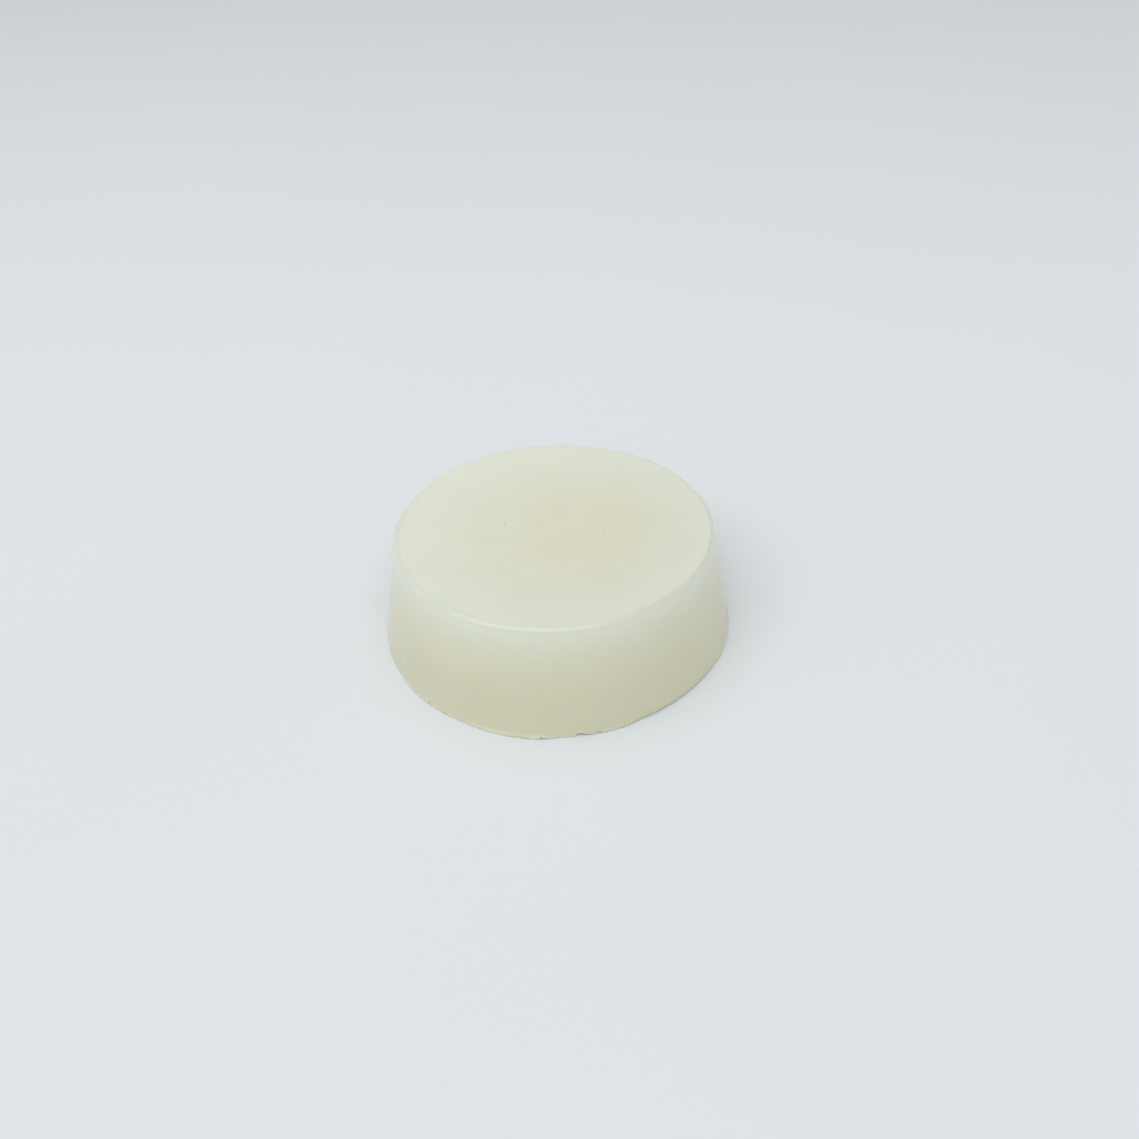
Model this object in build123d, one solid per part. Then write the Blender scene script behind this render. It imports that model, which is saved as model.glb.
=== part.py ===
from build123d import *
from math import cos, radians, sin, tan
import os

# Shaving soap puck: one casting of translucent soap, poured into a round cavity mould and turned out.
#
# The mould's floor made the smooth top face and its rounded rim, and the mould's taper made the wall. The open
# mouth of the mould made the base: a shallow meniscus dish inside a narrow land, with a chipped edge all round.
# The puck is one solid, so there is one node. Units are millimetres, +Z is up, and the origin is the centre of
# the face that the puck rests on.

# Driving dimensions
BASE_RADIUS = 35.0  # the mould's mouth
HEIGHT = 22.5
WALL_DRAFT = 9.8  # degrees; the wall leans in towards the top
RIM_RADIUS = 1.2  # rounding between the wall and the top face
LAND_WIDTH = 1.8  # the flat ring that the puck rests on
DISH_DEPTH = 0.6  # how far the meniscus hollows the base at its centre

CORNER_RADIUS = BASE_RADIUS - HEIGHT * tan(radians(WALL_DRAFT))  # where wall and top face would meet unrounded
DISH_RADIUS = BASE_RADIUS - LAND_WIDTH

# Chips in the base edge: degrees round from +X, width along the edge, height up the wall
EDGE_CHIPS = [
    (-136, 1.4, 0.45),
    (-97, 2.2, 0.20),
    (-82, 5.2, 0.60),
    (-60, 1.6, 0.35),
    (-22, 1.8, 0.25),
    (38, 2.6, 0.40),
    (104, 1.5, 0.30),
    (168, 2.0, 0.35),
]

# Burst bubbles in the top face: distance from the centre, degrees round from +X, radius
TOP_PINHOLES = [
    (8.4, -43, 0.28),
    (9.6, 171, 0.30),
    (10.0, -16, 0.24),
    (10.2, -135, 0.26),
    (21.3, -73, 0.32),
    (26.4, -134, 0.32),
    (27.4, 150, 0.26),
]

# Burst bubbles in the wall: degrees round from +X, height above the base, radius
WALL_PINHOLES = [
    (-149, 5.0, 0.40),
    (57, 13.5, 0.30),
    (121, 8.0, 0.35),
]


def around(radius, angle, height):
    """The point at this distance from the axis, this many degrees round from +X, and this high."""
    return Vector(radius * cos(radians(angle)), radius * sin(radians(angle)), height)


def casting():
    """The turned shape: tapered wall, rounded rim, flat top, and the dished base inside its land."""
    section = make_face(
        [
            Line((0, DISH_DEPTH), (0, HEIGHT)),
            Line((0, HEIGHT), (CORNER_RADIUS, HEIGHT)),
            Line((CORNER_RADIUS, HEIGHT), (BASE_RADIUS, 0)),
            Line((BASE_RADIUS, 0), (DISH_RADIUS, 0)),
            TangentArc((0, DISH_DEPTH), (DISH_RADIUS, 0), tangent=(1, 0)),
        ]
    )
    turned = revolve(Plane.XZ * section, Axis.Z)
    top_edge = turned.edges().sort_by(Axis.Z)[-1]
    return fillet(top_edge, RIM_RADIUS)


def edge_chip(angle, width, height):
    """A ball whose cap, standing above the resting plane on the base edge, is this wide and this high."""
    half_width = width / 2
    ball_radius = (half_width**2 + height**2) / (2 * height)
    return Pos(around(BASE_RADIUS, angle, height - ball_radius)) * Sphere(ball_radius)


def top_pinhole(distance, angle, radius):
    """A half-sunk bubble in the top face."""
    return Pos(around(distance, angle, HEIGHT)) * Sphere(radius)


def wall_pinhole(angle, height, radius):
    """A half-sunk bubble in the tapered wall."""
    wall_radius = BASE_RADIUS - height * tan(radians(WALL_DRAFT))
    return Pos(around(wall_radius, angle, height)) * Sphere(radius)


def soap_puck():
    """The casting with its chips and burst bubbles cut away."""
    cuts = [edge_chip(*chip) for chip in EDGE_CHIPS]
    cuts += [top_pinhole(*hole) for hole in TOP_PINHOLES]
    cuts += [wall_pinhole(*hole) for hole in WALL_PINHOLES]
    return casting() - cuts


PARTS = {"soap_puck": soap_puck}

os.makedirs("parts", exist_ok=True)
for node, build in PARTS.items():
    export_step(build(), f"parts/{node}.step")
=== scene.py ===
"""Shaving soap puck, laid out as a Blender add-on and run as a script.

The puck is one casting of translucent soap. Geometry Nodes turn its profile round the axis, tear its
base edge, and cut the burst bubbles and chips out of it. Three soap finishes share one colour group.
Lengths are in metres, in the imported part's frame: +Z is up and the origin is the centre of the face that
the puck rests on. The lists of marks are in millimetres and degrees.
"""

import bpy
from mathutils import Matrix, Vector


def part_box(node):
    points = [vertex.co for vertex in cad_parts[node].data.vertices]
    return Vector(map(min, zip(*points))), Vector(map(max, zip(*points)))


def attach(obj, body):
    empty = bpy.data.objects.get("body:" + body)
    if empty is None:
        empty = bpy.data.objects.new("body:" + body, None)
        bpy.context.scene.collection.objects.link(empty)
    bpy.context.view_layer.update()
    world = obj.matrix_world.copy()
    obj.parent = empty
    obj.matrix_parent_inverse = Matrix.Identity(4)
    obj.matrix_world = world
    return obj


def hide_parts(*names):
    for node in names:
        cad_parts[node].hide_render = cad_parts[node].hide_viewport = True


bl_info = {
    "name": "Shaving soap puck",
    "version": (1, 0, 0),
    "blender": (4, 5, 0),
    "location": "3D View > Sidebar > Soap",
    "description": "Builds a cast puck of translucent shaving soap and a small studio round it",
    "category": "Add Mesh",
}

from math import cos, pi, radians, sin, tan

import bpy
from bpy.props import FloatProperty, FloatVectorProperty, IntProperty, PointerProperty
from mathutils import Matrix, Vector

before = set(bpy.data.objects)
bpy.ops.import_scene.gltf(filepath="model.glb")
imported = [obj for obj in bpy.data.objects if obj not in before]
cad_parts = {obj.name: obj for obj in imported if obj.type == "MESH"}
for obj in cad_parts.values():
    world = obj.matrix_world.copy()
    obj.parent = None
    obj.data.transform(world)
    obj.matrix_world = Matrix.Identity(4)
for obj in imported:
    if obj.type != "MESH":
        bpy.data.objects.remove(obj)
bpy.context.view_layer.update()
PUCK_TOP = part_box("soap_puck")[1]

MM = 0.001

# Burst bubbles in the top face: distance from the centre, degrees round from +X, radius
TOP_PINHOLES = [
    (8.4, -43, 0.26),
    (9.6, 171, 0.28),
    (11.4, 157, 0.17),
    (7.7, 166, 0.15),
    (10.0, -16, 0.22),
    (11.6, -34, 0.20),
    (15.2, -36, 0.13),
    (17.8, -30, 0.12),
    (10.2, -135, 0.26),
    (14.7, -125, 0.17),
    (16.6, -134, 0.12),
    (11.2, -73, 0.18),
    (21.3, -73, 0.30),
    (22.3, -72, 0.20),
    (26.4, -134, 0.30),
    (27.2, -168, 0.16),
    (23.2, -178, 0.12),
    (27.4, 150, 0.24),
    (6.9, 113, 0.12),
    (20.9, 20, 0.12),
    (19.3, 5, 0.12),
]

# Burst bubbles in the wall: degrees round from +X, height above the base, radius
WALL_PINHOLES = [
    (-149, 5.0, 0.30),
    (-146, 6.4, 0.12),
    (57, 13.5, 0.26),
    (62, 12.2, 0.16),
    (121, 8.0, 0.30),
]

# Chips in the base edge: degrees round from +X, width along the edge, height up the wall
EDGE_CHIPS = [
    (-136.0, 1.4, 0.40),
    (-134.6, 0.8, 0.25),
    (-118.5, 1.0, 0.20),
    (-97.0, 2.2, 0.20),
    (-92.0, 1.5, 0.18),
    (-85.4, 1.7, 0.70),
    (-82.6, 4.2, 0.58),
    (-79.4, 1.8, 0.30),
    (-66.0, 1.0, 0.25),
    (-60.0, 1.4, 0.32),
    (-44.0, 0.9, 0.20),
    (-22.0, 1.8, 0.25),
    (38.0, 2.6, 0.40),
    (40.5, 1.2, 0.25),
    (104.0, 1.5, 0.30),
    (168.0, 2.0, 0.35),
]

# Crumbs that cling to the base edge: degrees round from +X, height above the base, radius
EDGE_CRUMBS = [
    (-77.6, 0.40, 0.28),
    (-72.0, 0.52, 0.24),
    (-70.6, 0.60, 0.30),
    (-69.4, 0.66, 0.22),
    (-61.5, 0.90, 0.22),
    (-112.0, 0.34, 0.20),
    (12.0, 0.42, 0.25),
    (71.0, 0.48, 0.30),
    (139.0, 0.40, 0.24),
]

# Where the base edge is worn in or stands out: degrees round from +X, reach either way in degrees, and
# distance outward
EDGE_WEAR = [
    (-50.0, 24.0, -0.50),
    (-105.0, 14.0, 0.40),
]

WEAR_DEPTH = 2.4 * MM  # how far in from the edge the wear reaches under the base
WEAR_FLATNESS = 2.4  # how many times less far it reaches up the wall
WEAR_CORE = 1 / 4  # share of a worn stretch that is worn to its full depth

# Raggedness of the base edge
BEND_LENGTH = 9 * MM  # of its slow bends
TEAR_LENGTH = 1.3 * MM  # of its small tears
LIFT_LENGTH = 2.4 * MM  # of the bits that stand clear of the table
FLARE_LENGTH = 4 * MM  # of the bits that stand out from the wall
TEAR_ROUGHNESS = 0.65
LIFT_FLOOR = 0.55  # noise below this lifts nothing
LIFT_GAIN = 3.0  # how many times more it lifts than it tears

# Waviness of the wall and the top
SWELL_SIZE = 26 * MM
SAG_SIZE = 17 * MM
SAG_SHARE = 0.35

# Burst bubbles
BUBBLE_RISE = 0.15  # how far a bubble's middle lies above the skin, in radii
BUBBLE_DENT_SIZE = 0.8  # in radii
BUBBLE_DENT_DEPTH = 0.5
SMALLEST_BUBBLE = 0.2  # as a share of the largest
POURED_FACING = -0.6  # a face that looks down more than this was at the mould's mouth
FROTH_FACING = -0.9
CREASE_ANGLE = radians(38)

# Clouds in the soap
CLOUD_SIZE = 11 * MM
CLOUD_ROUGHNESS = 0.55
FINE_CLOUD_SIZE = 2.2 * MM
FINE_CLOUD_ROUGHNESS = 0.6
CLOUD_WEIGHT = 0.8
FINE_CLOUD_WEIGHT = 0.5
CLOUD_ON_TOP = 0.22  # how far clouds fray the pale ring on the top, as a share of its radius
CLOUD_ON_WALL = 0.4  # and the pale band on the wall, as a share of its height
BUBBLE_SPACING = 5 * MM
BUBBLE_SPOT = (0.02, 0.06)  # a pale dot's core and outer reach, in spacings
BUBBLE_PALE = 0.06

# Where the soap's colours and its painted light and shade change. On the top, shares of the way from the
# heart to the edge
# The top's pale ring, painted glow as of light leaving thin soap near the edge
TOP_PALE = (0.22, 1.02)
WALL_START = (0.985, 1.006)  # where the top face ends and the wall begins
BAND_REACH = (-0.1, 1.0)  # shares of the pale band's height, down from the top edge; the band is painted glow
WALL_COLOUR = (0.35, 0.95)  # shares of the puck's height
RIM_REACH = (0.7 * MM, 1.4 * MM)  # distances from the top edge, over which the painted shade along it fades
THREAD_REACH = (0.30 * MM, 0.70 * MM)  # heights above the base, as the next two are: of the lip's painted highlight here, then of the painted shade at the foot and of the painted glow
FOOT_REACH = (0.15 * MM, 0.45 * MM)
PAINTED_GLOW_REACH = (5 * MM, 23 * MM)
THREAD_LENGTH = 3 * MM
THREAD_GAPS = (0.50, 0.36)  # noise over which the thread is whole, and under which it is gone
THREAD_SHARE = 0.6

# How much paler or darker the soap is painted there, as painted light and shade
LIP_HIGHLIGHT = 0.08
FOOT_PAINTED_SHADE = 0.11
PAINTED_GLOW_TOP = 0.077
PAINTED_GLOW_FALL = 0.15
RIM_PAINTED_SHADE = 0.045
RIM_WALL_RELIEF = 0.015  # less painted shade by this on the wall's side of the rim
RIM_FRONT_PAINTED_SHADE = 0.025  # more painted shade by this at the rim's front
SIDE_PAINTED_SHADE = 0.02  # painted darker by this from the middle to the right edge
SIDE_PAINTED_SHADE_FRONT = 1.5  # how many times stronger the painted shade is from front to back than from side to side

SOAP_IOR = 1.6
GLOW_SPREAD = (1.0, 0.85, 0.6)  # red light wanders furthest
GLOSS_PATCH = 6 * MM
GLOSS_CHANGE = 0.04

# The table
TABLE_HALF = 2.0
TABLE_MOTTLE_SIZE = 0.12
TABLE_MOTTLE = 0.02
TABLE_PAINTED_SHADE = 0.05  # how much darker it is painted near the viewer, as shade
TABLE_PAINTED_SHADE_REACH = 0.15
TABLE_ROUGHNESS = 0.6

# The point that the camera looks at, from the puck's middle
AIM = Vector((2.84 * MM, 0.0, 0.25 * MM))
CAMERA_CLIP = 0.005

# For each finish: its material, roughness, size and depth of its surface grain, cloudiness, and 1 where the
# soap lay against the mould or 0 where it lay in the open mouth
FINISHES = {
    "Moulded": ("moulded_soap", 0.16, 0.5 * MM, 0.004 * MM, 0.05, 1.0),
    "Poured": ("poured_soap", 0.46, 0.8 * MM, 0.05 * MM, 0.10, 0.0),
    "Broken": ("broken_soap", 0.55, 0.3 * MM, 0.04 * MM, 0.08, 1.0),
}


# --------------------------------------------------------------------------------------------------
# Node trees, written as formulas


class Field:
    """A node's output. Arithmetic on it adds Math nodes to its tree, so a formula reads as one."""

    def __init__(self, tree, socket):
        self.tree = tree
        self.socket = socket

    def also(self, name):
        """Another output of the same node."""
        return Field(self.tree, self.socket.node.outputs[name])

    def __add__(self, other):
        return self.tree.math("ADD", self, other)

    def __radd__(self, other):
        return self.tree.math("ADD", other, self)

    def __sub__(self, other):
        return self.tree.math("SUBTRACT", self, other)

    def __rsub__(self, other):
        return self.tree.math("SUBTRACT", other, self)

    def __mul__(self, other):
        return self.tree.math("MULTIPLY", self, other)

    def __truediv__(self, other):
        return self.tree.math("DIVIDE", self, other)

    def __pow__(self, other):
        return self.tree.math("POWER", self, other)

    def __gt__(self, other):
        return self.tree.math("GREATER_THAN", self, other)

    def __lt__(self, other):
        return self.tree.math("LESS_THAN", self, other)


class Tree:
    """A tree of geometry or shader nodes under construction."""

    def __init__(self, tree):
        self.tree = tree

    def feed(self, socket, value):
        """Links another node's output to the socket, or sets the socket's own value."""
        if isinstance(value, Field):
            self.tree.links.new(value.socket, socket)
        else:
            socket.default_value = value

    def add(self, kind, settings=None, **inputs):
        """Adds a node, returns its first output. Inputs are named as their sockets, _ for a space."""
        node = self.tree.nodes.new(kind)
        for name, value in (settings or {}).items():
            setattr(node, name, value)
        for name, value in inputs.items():
            wanted = name.replace("_", " ")
            self.feed(next(s for s in node.inputs if s.enabled and s.name == wanted), value)
        first = next((s for s in node.outputs if s.enabled), None)
        return Field(self, first) if first else None

    def many(self, kind, settings, **inputs):
        """Adds a node whose named inputs take several geometries each, and returns its first output."""
        node = self.tree.nodes.new(kind)
        for name, value in settings.items():
            setattr(node, name, value)
        for name, fields in inputs.items():
            for field in fields:
                self.feed(node.inputs[name.replace("_", " ")], field)
        return Field(self, node.outputs[0])

    def math(self, operation, *values):
        """Adds a Math node and returns its output."""
        node = self.tree.nodes.new("ShaderNodeMath")
        node.operation = operation
        for socket, value in zip(node.inputs, values):
            self.feed(socket, value)
        return Field(self, node.outputs[0])

    def vector(self, x, y, z):
        """The vector of these three values."""
        return self.add("ShaderNodeCombineXYZ", X=x, Y=y, Z=z)

    def split(self, vector):
        """The vector's X, Y and Z."""
        x = self.add("ShaderNodeSeparateXYZ", Vector=vector)
        return x, x.also("Y"), x.also("Z")

    def noise(self, place, size, detail=2.0, roughness=0.5):
        """Noise from 0 to 1 whose lumps are about this size."""
        texture = {"Scale": 1 / size, "Detail": detail, "Roughness": roughness}
        return self.add("ShaderNodeTexNoise", Vector=place, **texture)

    def fade(self, value, start, end):
        """1 up to start, 0 beyond end, and a smooth fall between them."""
        settings = {"interpolation_type": "SMOOTHSTEP"}
        ends = {"From_Min": start, "From_Max": end, "To_Min": 1.0, "To_Max": 0.0}
        return self.add("ShaderNodeMapRange", settings, Value=value, **ends)

    def blend(self, share, first, second):
        """The first colour where share is 0, and the second where it is 1."""
        return self.add("ShaderNodeMix", {"data_type": "RGBA"}, Factor=share, A=first, B=second)

    def shaded(self, colour, shade):
        """The colour, darkened or lightened."""
        multiply = {"data_type": "RGBA", "blend_type": "MULTIPLY"}
        return self.add("ShaderNodeMix", multiply, Factor=1.0, A=colour, B=shade)

    def inputs(self, *sockets):
        """Adds the tree's own inputs, each a name and a kind, and returns them as fields."""
        for name, kind in sockets:
            self.tree.interface.new_socket(name, in_out="INPUT", socket_type=f"NodeSocket{kind}")
        node = self.tree.nodes.new("NodeGroupInput")
        return [Field(self, node.outputs[name]) for name, kind in sockets]

    def outputs(self, **fields):
        """Adds the tree's own outputs, named by their keywords, and feeds them."""
        kinds = {"VALUE": "Float", "RGBA": "Color", "GEOMETRY": "Geometry", "VECTOR": "Vector"}
        for name, field in fields.items():
            kind = kinds[field.socket.type]
            self.tree.interface.new_socket(name, in_out="OUTPUT", socket_type=f"NodeSocket{kind}")
        node = self.tree.nodes.new("NodeGroupOutput")
        for name, field in fields.items():
            self.feed(node.inputs[name], field)


def new_tree(name, kind):
    """An empty node group, in place of an older one of that name."""
    old = bpy.data.node_groups.get(name)
    if old:
        bpy.data.node_groups.remove(old)
    return Tree(bpy.data.node_groups.new(name, kind))


def settings_of(group):
    """The properties that a class or an instance of a property group declares."""
    return [made for made in group.bl_rna.properties if made.identifier not in ("rna_type", "name")]


# --------------------------------------------------------------------------------------------------
# The casting


def profile(g, sizes):
    """Half of the puck's section, from the dish's middle, under the land, over to the top's middle."""

    def stretch(start, end, count):
        line = g.add("GeometryNodeCurvePrimitiveLine", Start=start, End=end)
        return g.add("GeometryNodeResampleCurve", Curve=line, Count=count)

    base, height = sizes["base_radius"], sizes["height"]
    draft, rim = sizes["wall_draft"], sizes["rim_radius"]
    slope = g.math("TANGENT", draft)
    dish_radius = base - sizes["land_width"]
    dish_middle = g.vector(0.0, sizes["dish_depth"], 0.0)
    dish_edge = g.vector(dish_radius, 0.0, 0.0)
    land_edge = g.vector(base - sizes["undercut"], 0.0, 0.0)
    tip = g.vector(base, sizes["edge_lift"], 0.0)
    wall_foot = g.vector(base - sizes["lip_height"] * slope, sizes["lip_height"], 0.0)
    flat = base - height * slope - rim / g.math("TANGENT", draft * 0.5 + pi / 4)
    rim_out = flat + rim * g.math("COSINE", draft)
    rim_foot = g.vector(rim_out, height - rim + rim * g.math("SINE", draft), 0.0)

    dish_crown = g.vector(dish_radius * 0.5, sizes["dish_depth"], 0.0)
    dish_ends = {"Start": dish_middle, "Middle": dish_crown, "End": dish_edge}
    arc_angles = {"Start_Angle": draft, "Sweep_Angle": pi / 2 - draft}
    arc = g.add("GeometryNodeCurveArc", {"mode": "RADIUS"}, Resolution=12, Radius=rim, **arc_angles)
    stretches = [
        g.add("GeometryNodeCurveQuadraticBezier", Resolution=14, **dish_ends),
        stretch(dish_edge, land_edge, 3),
        stretch(land_edge, tip, 4),
        stretch(tip, wall_foot, 11),
        stretch(wall_foot, rim_foot, 12),
        g.add("GeometryNodeTransform", Geometry=arc, Translation=g.vector(flat, height - rim, 0.0)),
        stretch(g.vector(flat, height, 0.0), g.vector(0.0, height, 0.0), 12),
    ]
    # The last one linked comes first
    return g.many("GeometryNodeJoinGeometry", {}, Geometry=reversed(stretches))


def turned(g, outline, sizes):
    """The profile turned round the axis, with a soft mould's waviness and the base edge's torn tip."""
    rings = g.add("GeometryNodeAttributeDomainSize", {"component": "CURVE"}, Geometry=outline)
    columns = sizes["segments"] + 1
    grid = g.add("GeometryNodeMeshGrid", Size_X=1.0, Size_Y=1.0, Vertices_X=columns, Vertices_Y=rings)
    position = g.add("GeometryNodeInputPosition")
    across, along, _ = g.split(position)
    turn = (across + 0.5) * (2 * pi)
    ring = g.math("ROUND", (along + 0.5) * (rings - 1))
    sampling = {"data_type": "FLOAT_VECTOR", "domain": "POINT"}
    point = g.add("GeometryNodeSampleIndex", sampling, Geometry=outline, Value=position, Index=ring)
    radius, height, _ = g.split(point)
    east, north = g.math("COSINE", turn), g.math("SINE", turn)

    # How near the torn tip is: 1 at the tip, 0 at a lip's height from it
    base = sizes["base_radius"]
    off_tip = g.math("SQRT", (radius - base) ** 2 + (height - sizes["edge_lift"]) ** 2)
    at_tip = g.fade(off_tip, 0.0, sizes["lip_height"])
    edge = g.vector(east * base, north * base, sizes["seed"])
    slow = g.noise(edge, BEND_LENGTH, 1.0) - 0.5
    torn = g.noise(edge, TEAR_LENGTH, 3.0, TEAR_ROUGHNESS) - 0.5
    upper_edge = g.vector(east * base, north * base, sizes["seed"] + 1)
    lift = g.noise(upper_edge, LIFT_LENGTH, 3.0, TEAR_ROUGHNESS)
    lifted = g.math("MAXIMUM", lift - LIFT_FLOOR, 0.0)
    flare = (g.noise(upper_edge, FLARE_LENGTH, 2.0) + 0.5) * sizes["flare"]
    push = at_tip * (torn + slow) * sizes["torn_edge"] + at_tip**3 * flare
    rise = at_tip * lifted * sizes["torn_edge"] * LIFT_GAIN

    # Wear reaches further along the base than up the wall
    off_edge = g.math("SQRT", (radius - base) ** 2 + (height * WEAR_FLATNESS) ** 2)
    at_foot = g.fade(off_edge, 0.0, WEAR_DEPTH)
    for angle, reach, outward in EDGE_WEAR:
        near = g.math("COSINE", turn - radians(angle))
        near = g.fade(near, cos(radians(reach * WEAR_CORE)), cos(radians(reach)))
        push = push + at_foot * near * (outward * MM)

    # The mould is soft, so no wall of it is quite true
    place = g.vector(east * radius, north * radius, height + sizes["seed"])
    grow = (g.noise(place, SWELL_SIZE, 1.0) - 0.5) * sizes["waviness"] * (radius / base)
    sag = (g.noise(place, SAG_SIZE, 2.0) - 0.5) * sizes["waviness"]
    sag = sag * (height / sizes["height"]) * SAG_SHARE
    out = radius + grow + push
    moved = g.vector(east * out, north * out, height + sag + rise)
    shell = g.add("GeometryNodeSetPosition", Geometry=grid, Position=moved)
    return g.add("GeometryNodeMergeByDistance", Geometry=shell, Distance=0.002 * MM)


def dented_ball(g, fineness):
    """A ball of radius 1 that is a little out of true, as a bubble or a crumb is."""
    ball = g.add("GeometryNodeMeshIcoSphere", Radius=1.0, Subdivisions=fineness)
    place = g.add("GeometryNodeInputPosition")
    dent = (g.noise(place, BUBBLE_DENT_SIZE, 1.0) - 0.5) * BUBBLE_DENT_DEPTH + 1.0
    dented = g.add("ShaderNodeVectorMath", {"operation": "SCALE"}, Vector=place, Scale=dent)
    ball = g.add("GeometryNodeSetPosition", Geometry=ball, Position=dented)
    on_faces = {"data_type": "BOOLEAN", "domain": "FACE"}
    return g.add("GeometryNodeStoreNamedAttribute", on_faces, Geometry=ball, Name="broken", Value=True)


def casting_tree():
    """The whole casting as a Geometry Nodes tree, whose own geometry input is the listed marks."""
    g = new_tree("poured_casting", "GeometryNodeTree")
    declared = settings_of(SoapPuckSizes)
    kinds = {"INT": "Int", "FLOAT": "Float"}
    marks, moulded, poured, broken, *values = g.inputs(
        ("Marks", "Geometry"),
        ("Moulded", "Material"),
        ("Poured", "Material"),
        ("Broken", "Material"),
        *((made.name, kinds[made.type]) for made in declared),
    )
    sizes = {made.identifier: value for made, value in zip(declared, values)}
    seed = sizes["seed"]
    shell = turned(g, profile(g, sizes), sizes)

    facing = g.split(g.add("GeometryNodeInputNormal"))[2]
    on_faces = {"data_type": "BOOLEAN", "domain": "FACE"}
    under = facing < POURED_FACING
    mark = {"Name": "poured", "Value": under}
    shell = g.add("GeometryNodeStoreNamedAttribute", on_faces, Geometry=shell, **mark)

    # Froth burst all over the poured face, and a few pinholes where the mould was
    froth = facing < FROTH_FACING
    density = sizes["pinhole_density"] + froth * (sizes["froth_density"] - sizes["pinhole_density"])
    scatter = {"distribute_method": "RANDOM"}
    spots = g.add("GeometryNodeDistributePointsOnFaces", scatter, Mesh=shell, Density=density, Seed=seed)
    largest = sizes["pinhole_size"] + froth * (sizes["froth_size"] - sizes["pinhole_size"])
    few_large = g.add("FunctionNodeRandomValue", Min=0.0, Max=1.0, Seed=seed) ** 3
    spot_size = largest * (few_large * (1.0 - SMALLEST_BUBBLE) + SMALLEST_BUBBLE)
    full_turn = (2 * pi, 2 * pi, 2 * pi)
    turn = g.add("FunctionNodeRandomValue", {"data_type": "FLOAT_VECTOR"}, Max=full_turn, Seed=seed)

    def balls(points, ball, size):
        placed = {"Instance": ball, "Rotation": turn, "Scale": size}
        return g.add("GeometryNodeInstanceOnPoints", Points=points, **placed)

    mark_size = g.add("GeometryNodeInputNamedAttribute", Name="radius")
    proud = g.add("GeometryNodeInputNamedAttribute", Name="proud")
    crumbs = g.add("GeometryNodeSeparateGeometry", {"domain": "POINT"}, Geometry=marks, Selection=proud)
    chips = crumbs.also("Inverted")
    large_ball = dented_ball(g, 3)
    small_ball = dented_ball(g, 2)
    solid = g.many(
        "GeometryNodeMeshBoolean",
        {"operation": "UNION", "solver": "MANIFOLD"},
        Mesh_2=[balls(crumbs, large_ball, mark_size), shell],
    )
    solid = g.many(
        "GeometryNodeMeshBoolean",
        {"operation": "DIFFERENCE", "solver": "MANIFOLD"},
        Mesh_1=[solid],
        Mesh_2=[balls(chips, large_ball, mark_size), balls(spots, small_ball, spot_size)],
    )
    solid = g.add("GeometryNodeRealizeInstances", Geometry=solid)
    sharp = g.add("GeometryNodeInputMeshEdgeAngle") > CREASE_ANGLE
    solid = g.add("GeometryNodeSetShadeSmooth", {"domain": "FACE"}, Geometry=solid, Shade_Smooth=True)
    creased = {"Selection": sharp, "Shade_Smooth": False}
    solid = g.add("GeometryNodeSetShadeSmooth", {"domain": "EDGE"}, Geometry=solid, **creased)

    flag = {"data_type": "BOOLEAN"}
    is_poured = g.add("GeometryNodeInputNamedAttribute", flag, Name="poured")
    is_broken = g.add("GeometryNodeInputNamedAttribute", flag, Name="broken")
    solid = g.add("GeometryNodeSetMaterial", Geometry=solid, Material=moulded)
    solid = g.add("GeometryNodeSetMaterial", Geometry=solid, Selection=is_poured, Material=poured)
    solid = g.add("GeometryNodeSetMaterial", Geometry=solid, Selection=is_broken, Material=broken)
    g.outputs(Geometry=solid)
    return g.tree


def marks_mesh(sizes):
    """Points where a ball is cut away, or added where proud is 1, each with its ball's radius."""
    slope = tan(sizes.wall_draft)

    def around(distance, angle, height):
        return Vector((distance * cos(radians(angle)), distance * sin(radians(angle)), height))

    points, radii, proud = [], [], []

    def mark(point, radius, is_proud=0.0):
        points.append(point)
        radii.append(radius)
        proud.append(is_proud)

    for distance, angle, radius in TOP_PINHOLES:
        mark(around(distance * MM, angle, sizes.height + BUBBLE_RISE * radius * MM), radius * MM)
    for angle, height, radius in WALL_PINHOLES:
        wall = sizes.base_radius - height * MM * slope
        mark(around(wall + BUBBLE_RISE * radius * MM, angle, height * MM), radius * MM)
    for angle, width, height in EDGE_CHIPS:
        ball = ((width / 2) ** 2 + height**2) / (2 * height) * MM
        mark(around(sizes.base_radius, angle, height * MM - ball), ball)
    for angle, height, radius in EDGE_CRUMBS:
        wall = sizes.base_radius - height * MM * slope
        mark(around(wall, angle, height * MM), radius * MM, 1.0)

    mesh = bpy.data.meshes.new("hand_placed_marks")
    mesh.from_pydata(points, [], [])
    mesh.attributes.new("radius", "FLOAT", "POINT").data.foreach_set("value", radii)
    mesh.attributes.new("proud", "FLOAT", "POINT").data.foreach_set("value", proud)
    return mesh


def grown(name, mesh, tree, values):
    """The plain mesh object that the tree makes of this mesh with these values for its inputs."""
    start = bpy.data.objects.new(name, mesh)
    bpy.context.scene.collection.objects.link(start)
    modifier = start.modifiers.new(name, "NODES")
    modifier.node_group = tree
    for item in tree.interface.items_tree:
        if item.in_out == "INPUT" and item.name in values:
            modifier[item.identifier] = values[item.name]
    evaluated = start.evaluated_get(bpy.context.evaluated_depsgraph_get())
    plain = bpy.data.meshes.new_from_object(evaluated)
    bpy.data.objects.remove(start)
    bpy.data.meshes.remove(mesh)
    plain.name = name
    plain.materials.pop(index=0)  # the start mesh's empty slot
    made = bpy.data.objects.new(name, plain)
    bpy.context.scene.collection.objects.link(made)
    return made


# --------------------------------------------------------------------------------------------------
# The soap's finishes


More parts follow.
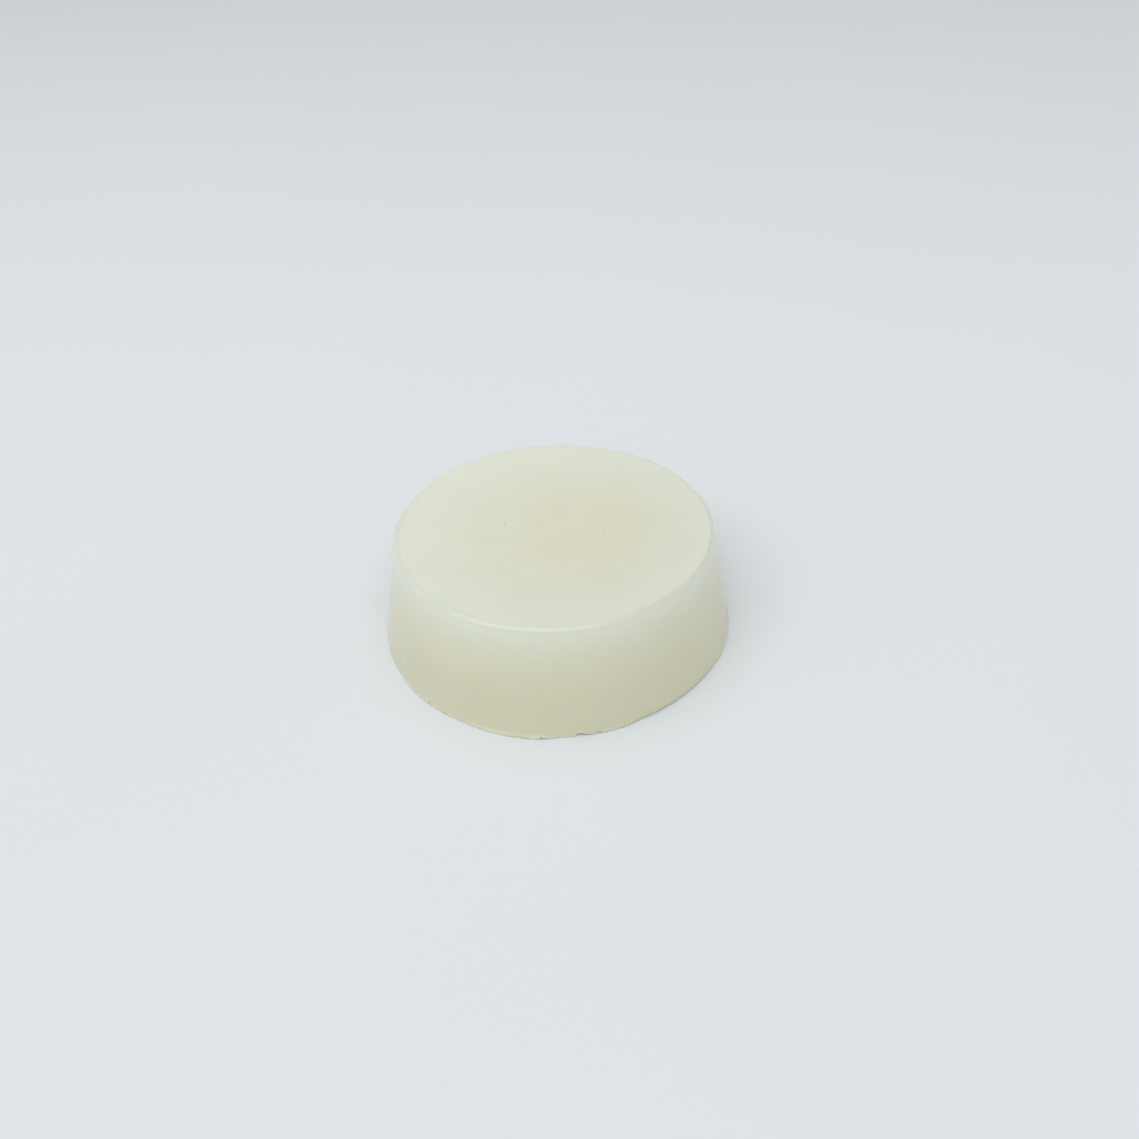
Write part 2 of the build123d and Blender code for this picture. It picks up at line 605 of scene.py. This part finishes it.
def soap_colour_group(sizes):
    """The colour of cloudy soap: warm at its heart, and painted pale where light would leave it near the
    top edge, with more painted light and shade elsewhere.
    """
    g = new_tree("soap_depth_colour", "ShaderNodeTree")
    place, heart, rim, wall, heart_offset, wall_reach, cloudiness, moulded = g.inputs(
        ("Place", "Vector"),
        ("Heart", "Color"),
        ("Rim", "Color"),
        ("Wall", "Color"),
        ("Heart Offset", "Vector"),
        ("Wall Reach", "Float"),
        ("Cloudiness", "Float"),
        ("Moulded", "Float"),
    )
    cloud = g.noise(place, CLOUD_SIZE, 3.0, CLOUD_ROUGHNESS) - 0.5

    # On the top: how far out from the heart towards the edge, from 0 to 1. Circles of one value shrink
    # from the edge on to the heart, so their middle moves from the axis to the heart's.
    x, y, z = g.split(place)
    off_x, off_y, _ = g.split(heart_offset)
    edge_radius = sizes.base_radius - sizes.height * tan(sizes.wall_draft)
    from_x = x - off_x
    from_y = y - off_y
    along = from_x * off_x + from_y * off_y
    span = edge_radius * edge_radius - (off_x * off_x + off_y * off_y)
    root = g.math("SQRT", along * along + span * (from_x * from_x + from_y * from_y))
    outward = (along + root) / span
    # The pale ring on the top is painted glow, as of light leaving the soap near the edge
    top_painted_glow = 1.0 - g.fade(outward + cloud * CLOUD_ON_TOP, *TOP_PALE)
    on_wall = moulded * (1.0 - g.fade(outward, *WALL_START))
    off_edge = g.math("SQRT", ((outward - 1.0) * edge_radius) ** 2 + (sizes.height - z) ** 2)
    at_edge = g.fade(off_edge, *RIM_REACH)

    # On the wall: how far down from the top edge, where the painted glow makes a pale band
    downward = (sizes.height - z) / wall_reach
    band_painted_glow = g.fade(downward + cloud * CLOUD_ON_WALL, *BAND_REACH)
    depth = g.fade(z, *(sizes.height * share for share in WALL_COLOUR))
    body = g.blend(depth, heart, wall)
    edge = g.blend(top_painted_glow * band_painted_glow, body, rim)

    # Painted light and shade: the upper wall painted paler, as by light that entered by the top and leaves
    # by the wall, and the lower wall painted darker
    wall_painted_glow_and_shade = PAINTED_GLOW_TOP - g.fade(z, *PAINTED_GLOW_REACH) * PAINTED_GLOW_FALL

    # Painted highlight: the thin lip at the base shows as a pale thread, broken here and there
    lip_highlight = moulded * g.fade(z, *THREAD_REACH)
    lip_highlight = lip_highlight * g.fade(g.noise(place, THREAD_LENGTH, 2.0), *THREAD_GAPS) * THREAD_SHARE
    edge = g.blend(lip_highlight, edge, rim)
    # Painted shade: a dark line at the foot of the wall, where it meets the table
    foot_painted_shade = moulded * g.fade(z, *FOOT_REACH)

    # Small bubbles that stayed under the skin show as pale dots
    cells = g.add("ShaderNodeTexVoronoi", Vector=place, Scale=1 / BUBBLE_SPACING)
    bubbles = g.fade(cells, *BUBBLE_SPOT)
    fine = g.noise(place, FINE_CLOUD_SIZE, 3.0, FINE_CLOUD_ROUGHNESS) - 0.5
    mottle = (cloud * CLOUD_WEIGHT + fine * FINE_CLOUD_WEIGHT) * cloudiness + bubbles * BUBBLE_PALE

    # Painted light and shade: the soap is painted a touch paler towards +Y and -X, and darker towards +X
    # and -Y
    side_painted_shade = (x * (1.0 - on_wall) - y * SIDE_PAINTED_SHADE_FRONT) / sizes.base_radius
    shade = 1.0 + mottle + on_wall * wall_painted_glow_and_shade + lip_highlight * LIP_HIGHLIGHT - foot_painted_shade * FOOT_PAINTED_SHADE
    # Painted shade along the top edge, stronger at the front and weaker on the wall's side
    rim_painted_shade = RIM_PAINTED_SHADE - on_wall * RIM_WALL_RELIEF - y / sizes.base_radius * RIM_FRONT_PAINTED_SHADE
    shade = shade - at_edge * rim_painted_shade - side_painted_shade * SIDE_PAINTED_SHADE
    g.outputs(Colour=g.shaded(edge, shade))
    return g.tree


def soap_material(name, colours, group, roughness, grain, grain_depth, cloudiness, moulded):
    """The material of one finish of the soap. FINISHES says what its values mean."""
    material = bpy.data.materials.new(name)
    material.use_nodes = True
    material.node_tree.nodes.clear()
    s = Tree(material.node_tree)
    place = s.add("ShaderNodeTexCoord").also("Object")
    colour = s.tree.nodes.new("ShaderNodeGroup")
    colour.node_tree = group
    s.feed(colour.inputs["Place"], place)
    s.feed(colour.inputs["Heart"], (*colours.heart, 1.0))
    s.feed(colour.inputs["Rim"], (*colours.rim, 1.0))
    s.feed(colour.inputs["Wall"], (*colours.wall, 1.0))
    s.feed(colour.inputs["Heart Offset"], colours.heart_offset)
    s.feed(colour.inputs["Wall Reach"], colours.wall_reach)
    s.feed(colour.inputs["Cloudiness"], cloudiness)
    s.feed(colour.inputs["Moulded"], moulded)
    grain_noise = s.noise(place, grain, 4.0, 0.6)
    rough = (s.noise(place, GLOSS_PATCH, 3.0) - 0.5) * GLOSS_CHANGE + roughness
    bump = s.add("ShaderNodeBump", Strength=1.0, Distance=grain_depth, Height=grain_noise)
    shader = s.add("ShaderNodeBsdfPrincipled", {"subsurface_method": "RANDOM_WALK"})
    sockets = shader.socket.node.inputs
    s.feed(sockets["Base Color"], Field(s, colour.outputs["Colour"]))
    s.feed(sockets["Roughness"], rough)
    s.feed(sockets["Normal"], bump)
    s.feed(sockets["IOR"], SOAP_IOR)
    s.feed(sockets["Subsurface Weight"], 1.0)
    s.feed(sockets["Subsurface Radius"], GLOW_SPREAD)
    s.feed(sockets["Subsurface Scale"], colours.glow_depth)
    s.add("ShaderNodeOutputMaterial", Surface=shader)
    return material


# --------------------------------------------------------------------------------------------------
# Settings


class SoapPuckSizes(bpy.types.PropertyGroup):
    """The casting's sizes."""

    base_radius: FloatProperty(
        name="Base radius", description="Radius of the mould's open mouth",
        default=PUCK_TOP.x, unit="LENGTH",
    )
    height: FloatProperty(
        name="Height", description="Height of the puck", default=PUCK_TOP.z, unit="LENGTH"
    )
    wall_draft: FloatProperty(
        name="Wall draft", description="Lean of the wall towards the top",
        default=radians(9.8), subtype="ANGLE",
    )
    rim_radius: FloatProperty(
        name="Rim radius", description="Rounding of the top edge", default=1.2 * MM, unit="LENGTH"
    )
    land_width: FloatProperty(
        name="Land width", description="Width of the ring that the puck rests on",
        default=1.8 * MM, unit="LENGTH",
    )
    dish_depth: FloatProperty(
        name="Dish depth", description="Depth of the meniscus in the base",
        default=0.6 * MM, unit="LENGTH",
    )
    undercut: FloatProperty(
        name="Undercut", description="How far the land stops short of the edge",
        default=0.06 * MM, unit="LENGTH",
    )
    edge_lift: FloatProperty(
        name="Edge lift", description="Height of the base edge's tip", default=0.02 * MM, unit="LENGTH"
    )
    lip_height: FloatProperty(
        name="Lip height", description="How far up the wall the torn edge reaches",
        default=1.0 * MM, unit="LENGTH",
    )
    flare: FloatProperty(
        name="Flare", description="How far the thin lip at the base stands out",
        default=0.10 * MM, unit="LENGTH",
    )
    torn_edge: FloatProperty(
        name="Torn edge", description="Raggedness of the base edge", default=0.5 * MM, unit="LENGTH"
    )
    waviness: FloatProperty(
        name="Waviness", description="Softness of the mould's walls", default=0.4 * MM, unit="LENGTH"
    )
    froth_density: FloatProperty(
        name="Froth density", description="Burst bubbles per square metre of the poured face",
        default=45000.0,
    )
    froth_size: FloatProperty(
        name="Froth size", description="Radius of the largest bubble in the froth",
        default=0.5 * MM, unit="LENGTH",
    )
    pinhole_density: FloatProperty(
        name="Pinhole density", description="Random pinholes per square metre of moulded face",
        default=2500.0,
    )
    pinhole_size: FloatProperty(
        name="Pinhole size", description="Radius of the largest random pinhole",
        default=0.07 * MM, unit="LENGTH",
    )
    segments: IntProperty(name="Segments", description="Faces round the puck", default=840, min=24)
    seed: IntProperty(name="Seed", description="Which random bubbles and tears", default=4, min=0)


class SoapColours(bpy.types.PropertyGroup):
    """The soap's colours."""

    heart: FloatVectorProperty(
        name="Heart", description="Soap seen at its deepest",
        default=(0.705, 0.705, 0.565), subtype="COLOR",
    )
    # The pale colour of the painted glow near the top edge
    rim: FloatVectorProperty(
        name="Rim", description="Thin soap at the top edge", default=(0.72, 0.75, 0.655), subtype="COLOR"
    )
    wall: FloatVectorProperty(
        name="Wall", description="Soap low on the wall", default=(0.735, 0.725, 0.54), subtype="COLOR"
    )
    # The painted glow is least round the heart
    heart_offset: FloatVectorProperty(
        name="Heart offset", description="Middle of the warm heart",
        default=(9 * MM, -3 * MM, 0.0), unit="LENGTH",
    )
    # The pale band on the wall is painted glow
    wall_reach: FloatProperty(
        name="Wall reach", description="Height of the pale band on the wall",
        default=7.5 * MM, unit="LENGTH",
    )
    glow_depth: FloatProperty(
        name="Glow depth", description="How far light wanders inside the soap",
        default=0.4 * MM, unit="LENGTH",
    )


class SoapStudio(bpy.types.PropertyGroup):
    """The table, the lights and the camera."""

    table: FloatVectorProperty(
        name="Table", description="Colour of the table top", default=(0.715, 0.75, 0.78), subtype="COLOR"
    )
    sky: FloatProperty(name="Sky", description="Strength of the light from all round", default=0.575)
    ceiling: FloatProperty(
        name="Ceiling", description="Power of the light overhead", default=7.6, unit="POWER"
    )
    window: FloatProperty(
        name="Window", description="Power of the window on the left", default=1.0, unit="POWER"
    )
    strip: FloatProperty(
        name="Strip", description="Power of the strip over the front edge", default=7.8, unit="POWER"
    )
    elevation: FloatProperty(
        name="Elevation", description="Camera's angle above the table",
        default=radians(37.42), subtype="ANGLE",
    )
    distance: FloatProperty(
        name="Distance", description="Camera's distance from the puck", default=211.4 * MM, unit="LENGTH"
    )
    roll: FloatProperty(
        name="Roll", description="Tilt of the camera", default=radians(-2.53), subtype="ANGLE"
    )
    lens: FloatProperty(name="Lens", description="Focal length in millimetres", default=33.19)


# --------------------------------------------------------------------------------------------------
# Operators


class SOAP_OT_casting(bpy.types.Operator):
    """Make the cast puck and its three soap finishes"""

    bl_idname = "soap.casting"
    bl_label = "Cast puck"

    def execute(self, context):
        sizes = context.scene.soap_sizes
        colours = context.scene.soap_colours
        group = soap_colour_group(sizes)
        values = {made.name: getattr(sizes, made.identifier) for made in settings_of(sizes)}
        for slot, (name, *finish) in FINISHES.items():
            values[slot] = soap_material(name, colours, group, *finish)
        puck = grown("puck_casting", marks_mesh(sizes), casting_tree(), values)
        if len(puck.data.polygons) < sizes.segments:
            raise RuntimeError("the casting came out empty")
        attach(puck, "root")
        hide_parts("soap_puck")
        return {"FINISHED"}


def area_light(name, power, place, target, width, depth, colour=(1.0, 1.0, 1.0)):
    """A rectangular softbox that faces its target."""
    light = bpy.data.lights.new(name, "AREA")
    light.shape = "RECTANGLE"
    light.size = width
    light.size_y = depth
    light.energy = power
    light.color = colour
    lamp = bpy.data.objects.new(name, light)
    lamp.location = place
    lamp.rotation_euler = (Vector(target) - Vector(place)).to_track_quat("-Z", "Y").to_euler()
    bpy.context.scene.collection.objects.link(lamp)


class SOAP_OT_studio(bpy.types.Operator):
    """Make the table, the lights and the camera"""

    bl_idname = "soap.studio"
    bl_label = "Studio"

    def execute(self, context):
        studio = context.scene.soap_studio
        mesh = bpy.data.meshes.new("table_top")
        signs = ((-1, -1), (1, -1), (1, 1), (-1, 1))
        corners = [(x * TABLE_HALF, y * TABLE_HALF, 0.0) for x, y in signs]
        mesh.from_pydata(corners, [], [(0, 1, 2, 3)])
        table = bpy.data.objects.new("table_top", mesh)
        context.scene.collection.objects.link(table)
        material = bpy.data.materials.new("table_laminate")
        material.use_nodes = True
        material.node_tree.nodes.clear()
        s = Tree(material.node_tree)
        place = s.add("ShaderNodeTexCoord").also("Object")
        # Painted shade: the table is painted darker near the viewer
        near = s.fade(s.split(place)[1], -TABLE_PAINTED_SHADE_REACH, TABLE_PAINTED_SHADE_REACH)
        mottle = (s.noise(place, TABLE_MOTTLE_SIZE, 2.0) - 0.5) * TABLE_MOTTLE
        tone = mottle + (1.0 + TABLE_PAINTED_SHADE / 2) - near * TABLE_PAINTED_SHADE
        colour = s.shaded((*studio.table, 1.0), tone)
        shader = s.add("ShaderNodeBsdfPrincipled", Base_Color=colour, Roughness=TABLE_ROUGHNESS)
        s.add("ShaderNodeOutputMaterial", Surface=shader)
        mesh.materials.append(material)

        world = bpy.data.worlds.new("soft_sky")
        world.use_nodes = True
        background = world.node_tree.nodes["Background"]
        background.inputs["Color"].default_value = (1.0, 1.0, 1.0, 1.0)
        background.inputs["Strength"].default_value = studio.sky
        context.scene.world = world

        middle = Vector((0.0, 0.0, PUCK_TOP.z / 2))
        daylight = {"width": 1.0, "depth": 1.0, "colour": (0.94, 0.98, 1.0)}
        area_light("ceiling", studio.ceiling, (-0.2, -0.2, 1.5), middle, width=1.8, depth=1.8)
        area_light("window", studio.window, (-1.2, -0.5, 1.2), middle, **daylight)
        area_light("strip", studio.strip, (-0.4, -0.85, 1.27), (-0.4, 0.0, 0.01), width=2.1, depth=0.15)

        data = bpy.data.cameras.new("camera")
        data.lens = studio.lens
        data.clip_start = CAMERA_CLIP
        camera = bpy.data.objects.new("camera", data)
        back = Vector((0.0, -cos(studio.elevation), sin(studio.elevation)))
        place = middle + back * studio.distance
        look = (middle + AIM - place).to_track_quat("-Z", "Y").to_matrix().to_4x4()
        camera.matrix_world = Matrix.Translation(place) @ look @ Matrix.Rotation(studio.roll, 4, "Z")
        context.scene.collection.objects.link(camera)
        context.scene.camera = camera
        context.scene.view_settings.view_transform = "Standard"
        return {"FINISHED"}


class SOAP_PT_sidebar(bpy.types.Panel):
    """Lists the puck's operators and settings"""

    bl_idname = "SOAP_PT_sidebar"
    bl_label = "Shaving soap puck"
    bl_space_type = "VIEW_3D"
    bl_region_type = "UI"
    bl_category = "Soap"

    def draw(self, context):
        for operator in OPERATORS:
            self.layout.operator(operator.bl_idname)
        for group in (context.scene.soap_sizes, context.scene.soap_colours, context.scene.soap_studio):
            box = self.layout.box()
            for made in settings_of(group):
                box.prop(group, made.identifier)


OPERATORS = (SOAP_OT_casting, SOAP_OT_studio)
SETTINGS = {"soap_sizes": SoapPuckSizes, "soap_colours": SoapColours, "soap_studio": SoapStudio}


def register():
    for made in (*SETTINGS.values(), *OPERATORS, SOAP_PT_sidebar):
        bpy.utils.register_class(made)
    for name, kind in SETTINGS.items():
        setattr(bpy.types.Scene, name, PointerProperty(type=kind))


def unregister():
    for name in SETTINGS:
        delattr(bpy.types.Scene, name)
    for made in reversed((*SETTINGS.values(), *OPERATORS, SOAP_PT_sidebar)):
        bpy.utils.unregister_class(made)


def main():
    register()
    bpy.ops.soap.casting()
    bpy.ops.soap.studio()


if __name__ == "__main__":
    main()
